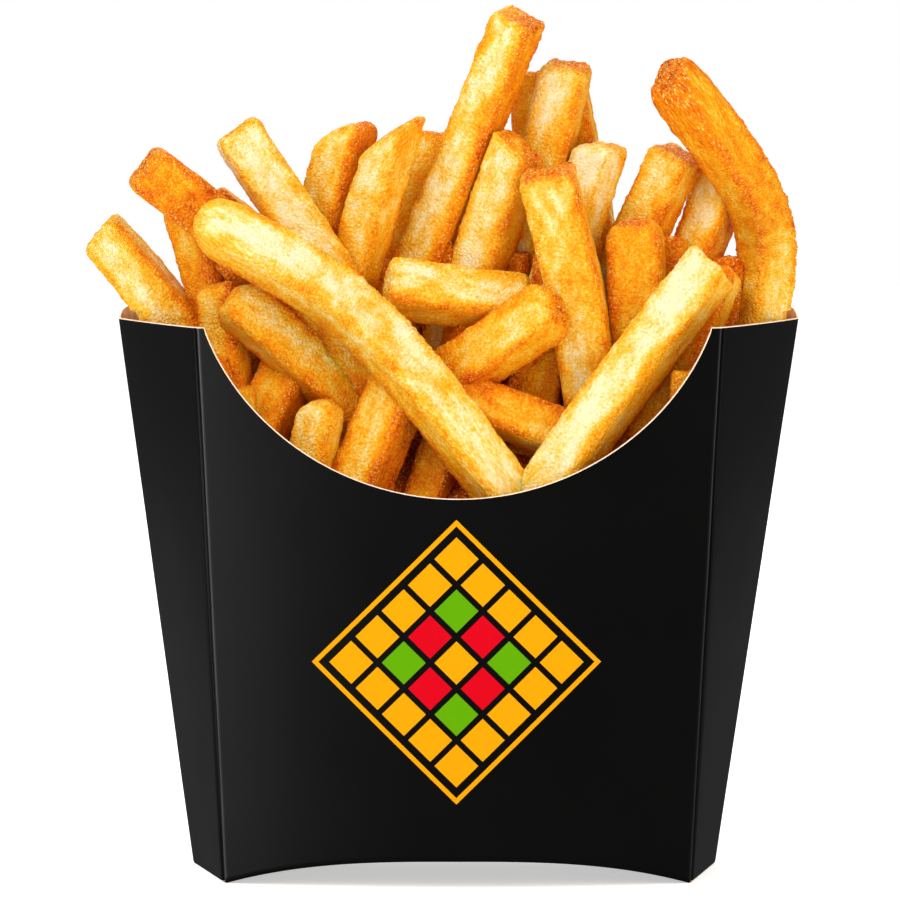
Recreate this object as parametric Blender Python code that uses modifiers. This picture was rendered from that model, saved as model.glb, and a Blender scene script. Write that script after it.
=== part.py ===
"""French fries in a folded carton.

The carton is one glued blank of coated board. Its front is cut down in a round scoop, its back stands
a little higher in a shallow arch, its sides flare out towards the back, and its floor is creased along
two curves, so that it springs up into an arch and the carton stands on the lower edges of its sides.
The fries are one heap: a plain core that fills the carton, and on it the straight-cut fries that show.

Metres, +Z up, the front faces -Y. Shapes are laid out about the middle of the carton, and the whole is
then moved so that the origin is on the resting plane, in the middle of what the object takes up.
"""

import math
import random
from collections import namedtuple

import bmesh
import bpy
from mathutils import Vector

MM = 0.001

# The carton's board, the gap that the heap keeps to it, and how far above the board it still keeps it.
BOARD = 0.5 * MM
HEAP_GAP = 0.4 * MM
CLEAR_OF_RIM = 2.0 * MM

# The carton. Its plan is a trapezium, wider at the back, whose front and back panels bow outwards.
# It is a little uneven, so its folds have their own places left and right: at the base and at the rim.
RIM_HEIGHT = 111.5 * MM
LEFT_FRONT_FOLD = (46.2 * MM, 50.6 * MM)
RIGHT_FRONT_FOLD = (46.8 * MM, 51.7 * MM)
LEFT_BACK_FOLD = (54.2 * MM, 69.7 * MM)
RIGHT_BACK_FOLD = (53.4 * MM, 70.7 * MM)
HALF_DEPTH_BASE = 11.0 * MM
HALF_DEPTH_RIM = 20.0 * MM
PANEL_BOW_BASE = 6.5 * MM
PANEL_BOW_RIM = 5.0 * MM
SIDE_BOW_RIM = 1.0 * MM
FLOOR_RISE = 5.6 * MM
FLOOR_RISE_POWER = 2.7
BACK_ARCH = 9.0 * MM
SCOOP_LOW = 78.2 * MM
SCOOP_RADIUS = 51.3 * MM
SCOOP_HALF_WIDTH = 49.5 * MM

# How finely the board is cut into faces.
SCOOP_STEPS = 28
SIDE_STEPS = 4
WALL_ROWS = 7

# The heap's core. Its top slopes up from the scoop to the back panel.
CORE_GAP = 1.5 * MM
CORE_FRONT_TOP = 64.0 * MM
CORE_BACK_TOP = 104.0 * MM
CORE_ROWS = 3

# The heap is laid out as it shows from the front, where it is looked at from this far off.
EYE = Vector((-1.3 * MM, -750.0 * MM, 148.0 * MM))

# A fry: the size of its ends, over what length they draw in, where its rings are, and its soft corners.
CUT_END = 0.86
ROUND_END = 0.5
DRAW_IN = 0.7
FEWEST_RINGS = 4
RING_STEP = 13.0 * MM
CHAMFER = 0.22
FOOT_SPREAD = 0.02

# The fries that show, roughly from the front of the heap to its back, in millimetres and degrees.
# tip and foot are where each end shows from the front: across, up, and how deep it lies. size is its
# width and thickness, and roll turns its right-hand face forward. bow bends it to its right-hand side.
# slant skews the cut of its tip, and taper is the tip's size against the foot's. A fry with a knee is
# drawn towards that place, and the more so the sharper it is.
Fry = namedtuple("Fry", "name tip foot size roll bow slant taper tip_end knee sharpness",
                 defaults=(0, 0, 0, 1, CUT_END, None, 1))
SHOWN_FRIES = (
    Fry("long_diagonal", (-52, 132.5, -11), (15.5, 69, -13.5), (10.4, 8.9), -28, 0, 0.1, 1.06, ROUND_END,
        (-18, 115.6, -11), 2.5),
    Fry("long_pale", (51.6, 123, -6), (13.8, 71, -14.5), (10.8, 9.0), 26, -0.9, -0.1),
    Fry("scoop_left_stub", (-26.8, 96, -8), (-31.5, 73, -11), (9.2, 7.8), 24, 0.3, 0.2, 0.92, ROUND_END),
    Fry("scoop_broad", (-9.5, 102, -4), (-24, 67, -12), (11.2, 9.8), 30, -0.5),
    Fry("scoop_middle", (0, 94, 1), (-10, 64, -9), (8.8, 7.8), 20),
    Fry("stubby", (20.6, 115.4, -9), (-3, 99, 2), (10.9, 9.5), 30, 0, -0.1, 1, ROUND_END),
    Fry("lower_cross", (27, 86.8, -4), (-4, 98.5, -2), (9.6, 8.8), 20),
    Fry("scoop_golden", (-45.6, 116.8, -5), (-14, 88, 5), (10.2, 8.7), -20, 0.8, -0.1, 1, ROUND_END),
    Fry("upper_cross", (14, 115, 4), (-14, 118.5, 0), (10.6, 9.6), 30),
    Fry("tall_bent_left", (17.8, 142, -3), (28.8, 82, 2), (11.4, 8.8), 6, 1.5),
    Fry("browned", (-62.8, 142.8, -3), (-35, 121, 5), (10.6, 9.6), 10, 0.3, 0, 0.98, 0.72),
    Fry("pale_upper_left", (-44.2, 150.2, 3), (-21, 115, 5), (10.0, 8.2), -8, 0, 0.05, 1, 0.8),
    Fry("round_brown_rim", (35.4, 132.4, 3), (38, 90, 3), (11.8, 9.4), 5, 0, 0, 0.98, ROUND_END),
    Fry("scoop_edge_left", (-46.6, 119.6, 4), (-45, 86, 1), (8.8, 7.8), 35, 0, 0.1, 1, 0.65),
    Fry("scoop_second_left", (-32, 105.5, 5), (-44, 80, -7), (10.0, 9.0), 25),
    Fry("beside_long_pale", (53, 122.5, 4), (35, 80, -6), (8.8, 8.0), 22, 0.5, 0, 1, 0.7),
    Fry("behind_diagonal", (-34.5, 119, 2), (-15, 98, 3), (9.2, 8.4), -10),
    Fry("under_browned", (-53.6, 135, 11), (-42.5, 94, 8), (9.3, 8.1), 40),
    Fry("pointed", (-12.4, 149.8, 6), (-25.5, 104, 10), (9.2, 8.0), 32, 0, 1.1, 1, 0.7),
    Fry("upright_pale", (12.9, 147.4, 7), (-4, 99, 15), (10.7, 9.0), 28, 0, -0.25),
    Fry("tallest", (12.9, 173.2, 10), (-15.8, 102, 15), (9.6, 8.6), 23, 0, 0.05, 1, 0.8),
    Fry("right_pair_inner", (29.4, 147.6, 13), (18, 114, 8), (9.6, 8.4), 35, 0, 0, 1, ROUND_END),
    Fry("behind_stubby", (21, 130, 11), (15, 84, 4), (9.0, 8.4), 10),
    Fry("leaning_out_left", (-71.2, 130.0, 10), (-43, 93, 10), (11.8, 10.4), 30, 0.6, 0.2, 0.8),
    Fry("scoop_right_low", (42, 97, 5), (29, 77, -7), (8.8, 8.2), 15),
    Fry("dark_left", (-45, 125.5, 7), (-26, 101, 9), (9.2, 8.4), -10),
    Fry("right_pair_outer", (44.6, 146.2, 14), (29, 112, 14), (9.8, 8.6), 25, 0, 0.1, 1, 0.8),
    Fry("rounded_behind", (-21, 151.2, 14), (-32, 110, 16), (10.2, 9.0), 35, 0, 0.1, 1, 0.45),
    Fry("brown_rim_upper", (22.4, 163.8, 16), (9, 108, 17), (9.9, 8.8), 12, 0, 0.12, 1, 0.7),
    Fry("right_rim", (54.4, 124.6, 14), (52, 98, 12), (8.2, 7.6), 15, 0, 0, 1, 0.7),
    Fry("beside_round_rim", (42.4, 128.6, 11), (41.5, 94, 9), (7.0, 6.6), 15),
    Fry("sliver_left", (-49.5, 135.2, 13), (-24, 116, 15), (9.2, 8.4), 5),
    Fry("behind_bent", (54.2, 141.5, 18), (41, 108, 13), (9.6, 8.8), 25),
    Fry("behind_pointed", (-3.8, 149.4, 20), (-15, 112, 17), (8.8, 8.2), 15, 0, 0.2, 0.95, 0.75),
    Fry("behind_tallest", (15.6, 161.2, 23), (15.6, 118, 20), (8.4, 8.0), 15, 0, 0, 1, 0.75),
    Fry("behind_brown_rim", (21.6, 158.5, 25), (30, 118, 20), (8.8, 8.2), 10),
    Fry("bent", (41.4, 161.4, 4), (56, 90, 12), (10.4, 9.4), -38, 0, 0.2, 1, 0.8, (65.6, 132.4, 13), 3),
)

# The fries that the first ones hide: in rows, at even steps with some scatter, lower than those in front.
HIDDEN_ROWS = ((6.0, 10.0, 116.0), (14.0, 16.0, 126.0))
HIDDEN_SIZE = (9.4, 8.8)
HIDDEN_STEP = 13.0
HIDDEN_REACH = 40.0
HIDDEN_LENGTH = 42.0
HIDDEN_SCATTER = 4.0
HIDDEN_SEED = 7


def between(low, high, share):
    """The value at a share of the way from low to high."""
    return low + (high - low) * share


def share_of_rim(z):
    return z / RIM_HEIGHT


def half_depth(z):
    return between(HALF_DEPTH_BASE, HALF_DEPTH_RIM, share_of_rim(z))


def half_width(u, v, z):
    """The carton's width at height z on u's side, from v = -1 at the front fold to v = 1 at the back fold."""
    front_fold = LEFT_FRONT_FOLD if u < 0 else RIGHT_FRONT_FOLD
    back_fold = LEFT_BACK_FOLD if u < 0 else RIGHT_BACK_FOLD
    front = between(*front_fold, share_of_rim(z))
    back = between(*back_fold, share_of_rim(z))
    return between(front, back, (v + 1) / 2) + SIDE_BOW_RIM * share_of_rim(z) * (1 - v * v)


def panel_bow(z):
    return between(PANEL_BOW_BASE, PANEL_BOW_RIM, share_of_rim(z))


def carton_point(u, v, z, inset=0.0):
    """A point of the carton's plan at height z: u runs across, v from front to back, both from -1 to 1.

    At u or v = -1 or 1 it lies on the board's outer face, or inset from that face.
    """
    across = u * (half_width(u, v, z) - inset)
    deep = v * (half_depth(z) + panel_bow(z) * (1 - u * u) - inset)
    return Vector((across, deep, z))


def floor_height(u):
    """How high the arched floor's underside is at u across."""
    return FLOOR_RISE * (1 - abs(u) ** FLOOR_RISE_POWER)


def scoop_height(x):
    """The front panel's cut edge: part of an ellipse between two short level stubs."""
    if abs(x) >= SCOOP_HALF_WIDTH:
        return RIM_HEIGHT
    drop = RIM_HEIGHT - SCOOP_LOW
    reach = 1 - math.sqrt(1 - (SCOOP_HALF_WIDTH / SCOOP_RADIUS) ** 2)
    return SCOOP_LOW + drop * (1 - math.sqrt(1 - (x / SCOOP_RADIUS) ** 2)) / reach


def back_height(u):
    """The back panel's cut edge: a shallow arch."""
    return RIM_HEIGHT + BACK_ARCH * math.sqrt(max(0.0, 1 - u * u))


def front_shares():
    """Places across the front panel: evenly spaced along the scoop's arc, and the two folds."""
    half_angle = math.asin(SCOOP_HALF_WIDTH / SCOOP_RADIUS)
    angles = [between(-half_angle, half_angle, k / SCOOP_STEPS) for k in range(SCOOP_STEPS + 1)]
    places = [SCOOP_RADIUS * math.sin(a) for a in angles]
    return [-1.0] + [x / half_width(x, -1.0, RIM_HEIGHT) for x in places] + [1.0]


def side_shares():
    return [between(-1.0, 1.0, k / SIDE_STEPS) for k in range(SIDE_STEPS + 1)]


def wall_columns():
    """Round the carton, the (u, v, height of the cut edge) of each column of the wall."""
    across = front_shares()
    along = side_shares()
    front = [(u, -1.0, scoop_height(u * half_width(u, -1.0, RIM_HEIGHT))) for u in across]
    right = [(1.0, v, RIM_HEIGHT) for v in along[1:-1]]
    back = [(u, 1.0, back_height(u)) for u in reversed(across)]
    left = [(-1.0, v, RIM_HEIGHT) for v in reversed(along[1:-1])]
    return front + right + back + left


def new_object(name, bm, material, collection):
    mesh = bpy.data.meshes.new(name)
    bmesh.ops.recalc_face_normals(bm, faces=bm.faces)
    bm.to_mesh(mesh)
    bm.free()
    mesh.materials.append(material)
    made = bpy.data.objects.new(name, mesh)
    collection.objects.link(made)
    return made


def new_material(name, colour, roughness):
    material = bpy.data.materials.new(name)
    material.use_nodes = True
    shader = material.node_tree.nodes["Principled BSDF"]
    shader.inputs["Base Color"].default_value = (*colour, 1.0)
    shader.inputs["Roughness"].default_value = roughness
    shader.inputs["Metallic"].default_value = 0.0
    return material


def make_carton(collection, material):
    """The folded board: an open surface of wall and floor, given the board's thickness inwards."""
    bm = bmesh.new()
    grid = []
    for u, v, top in wall_columns():
        low = floor_height(u)
        column = [between(low, top, k / WALL_ROWS) for k in range(WALL_ROWS + 1)]
        grid.append([bm.verts.new(carton_point(u, v, z)) for z in column])
    for here, after in zip(grid, grid[1:] + grid[:1]):
        for k in range(WALL_ROWS):
            bm.faces.new((here[k], after[k], after[k + 1], here[k + 1]))
    add_floor(bm, [column[0] for column in grid])
    carton = new_object("carton", bm, material, collection)
    board = carton.modifiers.new("board", "SOLIDIFY")
    board.thickness = BOARD
    board.offset = -1.0
    board.use_even_offset = True
    return carton


def add_floor(bm, edge):
    """The arched floor, straight from front to back, between the wall's lowest points."""
    across = front_shares()
    along = side_shares()
    wide, deep = len(across), len(along)
    front = edge[:wide]
    right = edge[wide:wide + deep - 2]
    back = edge[wide + deep - 2:2 * wide + deep - 2][::-1]
    left = edge[2 * wide + deep - 2:][::-1]
    rows = [front]
    for j in range(1, deep - 1):
        inner = [bm.verts.new(carton_point(u, along[j], floor_height(u))) for u in across[1:-1]]
        rows.append([left[j - 1], *inner, right[j - 1]])
    rows.append(back)
    for near, far in zip(rows, rows[1:]):
        for i in range(wide - 1):
            bm.faces.new((near[i], far[i], far[i + 1], near[i + 1]))


def inside_height(u, v):
    """Where the core's top is, from the scoop's foot up to the back panel."""
    return between(CORE_FRONT_TOP, CORE_BACK_TOP, (v + 1) / 2)


def make_core(collection, material):
    """What fills the carton: its inside, a little smaller, as a box bent to its plan."""
    bm = bmesh.new()
    bmesh.ops.create_cube(bm, size=2.0)
    bmesh.ops.subdivide_edges(bm, edges=bm.edges, cuts=CORE_ROWS * 2 - 1, use_grid_fill=True)
    inset = BOARD + CORE_GAP
    for vert in bm.verts:
        u, v, w = vert.co
        low = floor_height(u) + inset
        z = between(low, inside_height(u, v), (w + 1) / 2)
        vert.co = carton_point(u, v, z, inset)
    return new_object("core", bm, material, collection)


def in_the_heap(place):
    """A place as it shows from the front, carried back along the line of sight to its depth."""
    across, up, deep = (value * MM for value in place)
    reach = 1 - deep / EYE.y
    return Vector((between(EYE.x, across, reach), deep, between(EYE.z, up, reach)))


def kept_inside(point):
    """The point, moved off the board where it would touch it: a soft fry lies flat against the wall."""
    z = point.z
    if z > RIM_HEIGHT + BACK_ARCH:
        return point
    inset = BOARD + HEAP_GAP
    depth = half_depth(z)
    v = max(-1.0, min(1.0, point.y / depth))
    if z < RIM_HEIGHT + CLEAR_OF_RIM:
        reach = half_width(point.x, v, z) - inset
        point.x = max(-reach, min(reach, point.x))
    front_u = point.x / half_width(point.x, -1.0, z)
    back_u = point.x / half_width(point.x, 1.0, z)
    if z < scoop_height(point.x) + CLEAR_OF_RIM:
        reach = depth + panel_bow(z) * max(0.0, 1 - front_u**2) - inset
        point.y = max(-reach, point.y)
    if z < back_height(back_u) + CLEAR_OF_RIM:
        reach = depth + panel_bow(z) * max(0.0, 1 - back_u**2) - inset
        point.y = min(reach, point.y)
    return point


def axis_of(fry):
    """The fry's centre line: a curve from foot to tip, drawn towards its knee or to one side."""
    foot, tip = in_the_heap(fry.foot), in_the_heap(fry.tip)
    sight = ((foot + tip) / 2 - EYE).normalized()
    if fry.knee:
        corner = in_the_heap(fry.knee)
    else:
        right = sight.cross(tip - foot).normalized()
        corner = (foot + tip) / 2 + right * fry.bow * 2 * MM

    def at(share):
        weights = ((1 - share) ** 2, 2 * share * (1 - share) * fry.sharpness, share**2)
        return (foot * weights[0] + corner * weights[1] + tip * weights[2]) / sum(weights)

    return at, sight, (tip - foot).length


def section(fry, share, scale):
    """The eight corners of a section, across and towards the eye, before the fry is rolled."""
    wide, thick = fry.size
    scale *= between(1.0, fry.taper, share)
    p, q = wide / 2 * MM * scale, thick / 2 * MM * scale
    cut = min(p, q) * 2 * CHAMFER
    corners = []
    for sx, sy in ((1, 1), (-1, 1), (-1, -1), (1, -1)):
        pair = [(sx * p, sy * (q - cut)), (sx * (p - cut), sy * q)]
        corners += pair if sx == sy else reversed(pair)
    return corners


def ring_places(fry, length):
    """Where the rings are along the fry, and how large each is: full size but for both ends."""
    wide = fry.size[0] * MM
    foot = (1 - CUT_END) * wide * DRAW_IN / length
    tip = (1 - fry.tip_end) * wide * DRAW_IN / length
    steps = max(FEWEST_RINGS, round(length / RING_STEP))
    inner = [(between(foot, 1 - tip, k / steps), 1.0) for k in range(steps + 1)]
    return [(0.0, CUT_END), *inner, (1.0, fry.tip_end)]


def make_fry(fry, collection, material):
    """A straight-cut fry: eight-sided, with softened corners, its rings set along its centre line."""
    at, sight, length = axis_of(fry)
    roll = math.radians(fry.roll)
    bm = bmesh.new()
    rings = []
    for share, scale in ring_places(fry, length):
        before, after = max(0.0, share - FOOT_SPREAD), min(1.0, share + FOOT_SPREAD)
        along = (at(after) - at(before)).normalized()
        right = sight.cross(along).normalized()
        forward = right.cross(along).normalized()
        ring = []
        for p, q in section(fry, share, scale):
            across = p * math.cos(roll) - q * math.sin(roll)
            near = p * math.sin(roll) + q * math.cos(roll)
            skew = fry.slant * across * max(0.0, share * 2 - 1)
            point = at(share) + right * across + forward * near + along * skew
            ring.append(bm.verts.new(kept_inside(point)))
        rings.append(ring)
    for lower, upper in zip(rings, rings[1:]):
        for k in range(len(lower)):
            after = (k + 1) % len(lower)
            bm.faces.new((lower[k], lower[after], upper[after], upper[k]))
    bm.faces.new(rings[0])
    bm.faces.new(rings[-1])
    bmesh.ops.triangulate(bm, faces=bm.faces)
    return new_object(fry.name, bm, material, collection)


def hidden_fries():
    """The fries behind those that show, by rule, with a seeded scatter."""
    draw = random.Random(HIDDEN_SEED)
    fries = []
    for row, (depth, foot_depth, top) in enumerate(HIDDEN_ROWS):
        count = int(2 * HIDDEN_REACH / HIDDEN_STEP) + 1
        for k in range(count):
            across = -HIDDEN_REACH + k * HIDDEN_STEP + draw.uniform(-1, 1) * HIDDEN_SCATTER
            fall = HIDDEN_SCATTER * (across / HIDDEN_REACH) ** 2
            lean = draw.uniform(-2, 2) * HIDDEN_SCATTER
            tip = (across + lean, top - fall + draw.uniform(-1, 1) * HIDDEN_SCATTER, depth)
            foot = (across - lean, tip[1] - HIDDEN_LENGTH, foot_depth)
            roll = draw.uniform(-35, 35)
            fries.append(Fry(f"hidden_{row}_{k}", tip, foot, HIDDEN_SIZE, roll))
    return fries


def keep_main_body(mesh):
    """Fills the pockets that fusing seals and drops loose scraps: only the largest surface stays."""
    bm = bmesh.new()
    bm.from_mesh(mesh)
    left = set(bm.verts)
    bodies = []
    while left:
        body = {left.pop()}
        edge = list(body)
        while edge:
            vert = edge.pop()
            near = {e.other_vert(vert) for e in vert.link_edges} - body
            body |= near
            edge.extend(near)
        left -= body
        bodies.append(body)
    bodies.sort(key=len)
    scraps = [vert for body in bodies[:-1] for vert in body]
    bmesh.ops.delete(bm, geom=scraps, context="VERTS")
    bm.to_mesh(mesh)
    bm.free()


def fuse(name, collection, material, target):
    """Joins everything in a collection into one solid, and clears the collection."""
    joined = new_object(name, bmesh.new(), material, target)
    union = joined.modifiers.new("union", "BOOLEAN")
    union.operation = "UNION"
    union.operand_type = "COLLECTION"
    union.collection = collection
    union.solver = "EXACT"
    bpy.context.view_layer.update()
    evaluated = joined.evaluated_get(bpy.context.evaluated_depsgraph_get())
    mesh = bpy.data.meshes.new_from_object(evaluated)
    keep_main_body(mesh)
    joined.modifiers.clear()
    joined.data = mesh
    mesh.name = name
    for piece in list(collection.objects):
        bpy.data.objects.remove(piece)
    bpy.data.collections.remove(collection)
    return joined


def stand_on_origin(collection):
    """Moves the whole model, so that the origin is in the middle of the bottom of its bounding box."""
    bpy.context.view_layer.update()
    depsgraph = bpy.context.evaluated_depsgraph_get()
    points = [v.co for o in collection.objects for v in o.evaluated_get(depsgraph).data.vertices]
    low = Vector(min(p[axis] for p in points) for axis in range(3))
    high = Vector(max(p[axis] for p in points) for axis in range(3))
    middle = (low + high) / 2
    for made in collection.objects:
        made.location -= Vector((middle.x, middle.y, low.z))


def main():
    for old in list(bpy.data.objects):
        bpy.data.objects.remove(old)
    scene = bpy.context.scene
    model = bpy.data.collections.new("fries_in_carton")
    pieces = bpy.data.collections.new("fry_pieces")
    scene.collection.children.link(model)
    scene.collection.children.link(pieces)
    board = new_material("carton_board", (0.012, 0.012, 0.013), 0.45)
    potato = new_material("fried_potato", (0.80, 0.42, 0.07), 0.55)
    make_carton(model, board)
    make_core(pieces, potato)
    for fry in (*SHOWN_FRIES, *hidden_fries()):
        make_fry(fry, pieces, potato)
    fuse("fries", pieces, potato, model)
    stand_on_origin(model)


main()
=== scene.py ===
"""French fries in a folded black carton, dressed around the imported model.

The carton's board, the plain printed pattern on its front and the fries are all built here as fine
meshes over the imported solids. Shapes are laid out in the carton's own frame, in metres: the middle of
its base is the origin, +Z is up and the scooped front faces -Y.
"""

import math
import random
from collections import namedtuple

import bpy
import numpy as np
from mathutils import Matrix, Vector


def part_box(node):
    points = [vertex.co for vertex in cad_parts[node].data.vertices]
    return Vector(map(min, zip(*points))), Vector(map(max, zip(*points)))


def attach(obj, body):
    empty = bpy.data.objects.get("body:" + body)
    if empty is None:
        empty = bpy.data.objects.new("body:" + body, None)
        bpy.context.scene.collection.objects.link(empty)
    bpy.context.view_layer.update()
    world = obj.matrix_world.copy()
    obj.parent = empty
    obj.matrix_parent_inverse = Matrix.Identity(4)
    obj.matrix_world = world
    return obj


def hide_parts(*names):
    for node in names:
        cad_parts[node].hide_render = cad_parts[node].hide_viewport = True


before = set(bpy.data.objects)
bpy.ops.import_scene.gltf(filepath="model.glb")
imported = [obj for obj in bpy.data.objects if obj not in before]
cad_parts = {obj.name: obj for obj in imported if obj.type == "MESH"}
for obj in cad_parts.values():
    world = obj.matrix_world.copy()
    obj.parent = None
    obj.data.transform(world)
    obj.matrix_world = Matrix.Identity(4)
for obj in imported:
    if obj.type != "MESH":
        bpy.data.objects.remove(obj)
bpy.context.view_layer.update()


# The carton is one die-cut blank of solid board, laminated matt black outside and bare brown inside.
# It is creased, folded and glued along the back, and its pale core shows wherever the knife cut it.
MM = 0.001
BOARD = 0.5 * MM
RIM_HEIGHT = 111.5 * MM
LEFT_FRONT_FOLD = (46.2 * MM, 50.6 * MM)
RIGHT_FRONT_FOLD = (46.8 * MM, 51.7 * MM)
LEFT_BACK_FOLD = (54.2 * MM, 69.7 * MM)
RIGHT_BACK_FOLD = (53.4 * MM, 70.7 * MM)
HALF_DEPTH_BASE = 11.0 * MM
HALF_DEPTH_RIM = 20.0 * MM
PANEL_BOW_BASE = 6.5 * MM
PANEL_BOW_RIM = 5.0 * MM
SIDE_BOW_RIM = 1.0 * MM
FLOOR_RISE = 5.6 * MM
FLOOR_RISE_POWER = 2.7
BACK_ARCH = 9.0 * MM
SCOOP_LOW = 78.2 * MM
SCOOP_RADIUS = 51.3 * MM
SCOOP_HALF_WIDTH = 49.5 * MM
SCOOP_MIDDLE = 0.3 * MM

SCOOP_STEPS = 120
SIDE_STEPS = 16
WALL_ROWS = 24
BACK_CORNER_ROUND = (0.5 * MM, 1.6 * MM)
BACK_CORNER_POWER = 8
CREASE_STEPS = 6
CREASE_ROUND = 0.35 * MM
GROOVE_PLACE = 0.85 * MM
GROOVE_WIDTH = 0.45 * MM
GROOVE_DEPTH = 0.34 * MM
# Back from the fold: where the groove's painted shade begins, is full, begins to fade and ends.
GROOVE_MARK = (0.12 * MM, 0.30 * MM, 1.25 * MM, 1.55 * MM)
GROOVE_STEPS = 12
GROOVE_END = 1.9 * MM
PLAIN_START = 2.4 * MM
# How wide the painted highlight on the fold's bead is.
BEAD_WIDTH = 0.34 * MM
BEAD_COLUMNS = (1.3 * MM, 1.0 * MM, 0.7 * MM, CREASE_ROUND)
FOOT_ROUND = 0.4 * MM
FOOT_RISES = FOOT_ROUND * np.array([0.0, 0.3, 1.0])
FOOT_INSETS = FOOT_ROUND * np.array([0.8, 0.25, 0.0])
CUT_SHOWS = 0.13 * MM
SLOPE_REACH = 0.2 * MM
NOISE_GAIN = 1.6
BOARD_WAVE = 0.10 * MM
BOARD_WAVE_CELL = 24.0 * MM
BOARD_WAVE_SEED = 5
BOARD_CRISP_ANGLE = 50

LAMINATE_SHEEN = 0.22
BEAD_PAINTED_SHEEN = 1.0
LAMINATE_ROUGH = (0.40, 0.48)
LAMINATE_CLOUD = 22 * MM
LAMINATE_TOOTH = 0.45 * MM
TOOTH_DEPTH = 0.02 * MM
FIBRE_FLECK = 0.8 * MM
FIBRE_DEPTH = 0.04 * MM
CUT_FRAY = 0.7 * MM


def between(low, high, share):
    """The value at a share of the way from low to high."""
    return low + (high - low) * share


def half_depth(z):
    """How far the front and back folds are from the carton's middle at height z."""
    return between(HALF_DEPTH_BASE, HALF_DEPTH_RIM, z / RIM_HEIGHT)


def half_width(u, v, z):
    """Half the width at height z on u's side, from v = -1 at the front fold to v = 1 at the back fold."""
    share = z / RIM_HEIGHT
    front = np.where(u < 0, between(*LEFT_FRONT_FOLD, share), between(*RIGHT_FRONT_FOLD, share))
    back = np.where(u < 0, between(*LEFT_BACK_FOLD, share), between(*RIGHT_BACK_FOLD, share))
    return between(front, back, (v + 1) / 2) + SIDE_BOW_RIM * share * (1 - v * v)


def panel_bow(z):
    """How far the middle of the front or back panel stands out beyond its folds at height z."""
    return between(PANEL_BOW_BASE, PANEL_BOW_RIM, z / RIM_HEIGHT)


def carton_points(u, v, z, inset=0.0):
    """Points of the carton's plan at height z: u runs across, v from front to back, both from -1 to 1."""
    across = u * (half_width(u, v, z) - inset)
    deep = v * (half_depth(z) + panel_bow(z) * (1 - u * u) - inset)
    return np.stack(np.broadcast_arrays(across, deep, z), axis=-1)


def scoop_height(x):
    """The front panel's cut edge: part of an ellipse between two short level stubs."""
    reach = 1 - math.sqrt(1 - (SCOOP_HALF_WIDTH / SCOOP_RADIUS) ** 2)
    inside = np.clip(np.abs(x - SCOOP_MIDDLE) / SCOOP_RADIUS, 0, SCOOP_HALF_WIDTH / SCOOP_RADIUS)
    rise = (1 - np.sqrt(1 - inside**2)) / reach
    return between(SCOOP_LOW, RIM_HEIGHT, rise)


def back_height(u):
    """The back panel's cut edge: a shallow arch."""
    return RIM_HEIGHT + BACK_ARCH * np.sqrt(np.clip(1 - u * u, 0, 1))


def floor_height(u):
    """How high the arched floor's underside is at u across."""
    return FLOOR_RISE * (1 - np.abs(u) ** FLOOR_RISE_POWER)


def crystal(seed):
    """A fixed table of directions for the noise below."""
    draw = np.random.RandomState(seed)
    way = draw.normal(size=(256, 3))
    return draw.permutation(256), way / np.linalg.norm(way, axis=1)[:, None]


def soft_noise(points, cell, seed):
    """Smooth random swell, about -1 to 1, with one bump or hollow to each cell of space."""
    order, way = crystal(seed)
    place = points / cell
    base = np.floor(place).astype(int)
    part = place - base
    ease = part * part * part * (part * (part * 6 - 15) + 10)
    total = np.zeros(len(points))
    for corner in np.ndindex(2, 2, 2):
        key = (base + corner) & 255
        pick = order[(order[(order[key[:, 0]] + key[:, 1]) & 255] + key[:, 2]) & 255]
        reach = ((part - corner) * way[pick]).sum(axis=1)
        weight = np.where(corner, ease, 1 - ease).prod(axis=1)
        total += reach * weight
    return total * NOISE_GAIN


def wall_columns():
    """Round the carton, the (u, v, height of the cut edge) of each column of each panel."""
    half = math.asin(SCOOP_HALF_WIDTH / SCOOP_RADIUS)
    arc = np.sin(np.linspace(-half, half, SCOOP_STEPS + 1)) * SCOOP_RADIUS + SCOOP_MIDDLE
    arc = arc / half_width(arc, -1.0, RIM_HEIGHT)
    near_fold = 1 - np.array(BEAD_COLUMNS) / RIGHT_FRONT_FOLD[1]
    across = np.unique(np.concatenate([arc, near_fold, -near_fold]))
    front = [(u, -1.0, scoop_height(u * half_width(u, -1.0, RIM_HEIGHT))) for u in across]
    # The side panel's columns, closer together at the groove beside its front fold.
    groove = np.linspace(CREASE_ROUND, GROOVE_END, GROOVE_STEPS + 1) / HALF_DEPTH_RIM
    plain_start = -1 + PLAIN_START / HALF_DEPTH_RIM
    plain_end = 1 - BACK_CORNER_ROUND[1] / HALF_DEPTH_RIM
    along = np.unique(np.concatenate([-1 + groove, np.linspace(plain_start, plain_end, SIDE_STEPS)]))
    right = [(1.0, v, RIM_HEIGHT) for v in along]
    inner_back = across / across[-1] * (1 - BACK_CORNER_ROUND[1] / RIGHT_BACK_FOLD[1])
    back = [(u, 1.0, back_height(u)) for u in inner_back[::-1]]
    left = [(-1.0, v, RIM_HEIGHT) for v in along[::-1]]
    return front, right, back, left


def cut_band(u, top, distance):
    """How far below the cut edge, straight down, a band of that width along the edge reaches."""
    x = u * half_width(u, -1.0, RIM_HEIGHT)
    slope = (scoop_height(x + SLOPE_REACH) - scoop_height(x - SLOPE_REACH)) / (2 * SLOPE_REACH)
    return distance * np.sqrt(1 + slope**2) if top < RIM_HEIGHT else distance


def wall_heights(u, v, top):
    """The rows of one column: close together at the foot and at the cut edge."""
    low = floor_height(u)
    band = cut_band(u, top, CUT_SHOWS) if v == -1 else CUT_SHOWS
    body = np.linspace(low + 3 * FOOT_ROUND, top - 2 * band, WALL_ROWS)
    return np.concatenate([low + FOOT_RISES, body, [top - band, top]])


def beside_fold(v, z):
    """How far a place of a side panel is from the front fold, along the board."""
    return (v + 1) * half_depth(z)


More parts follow.
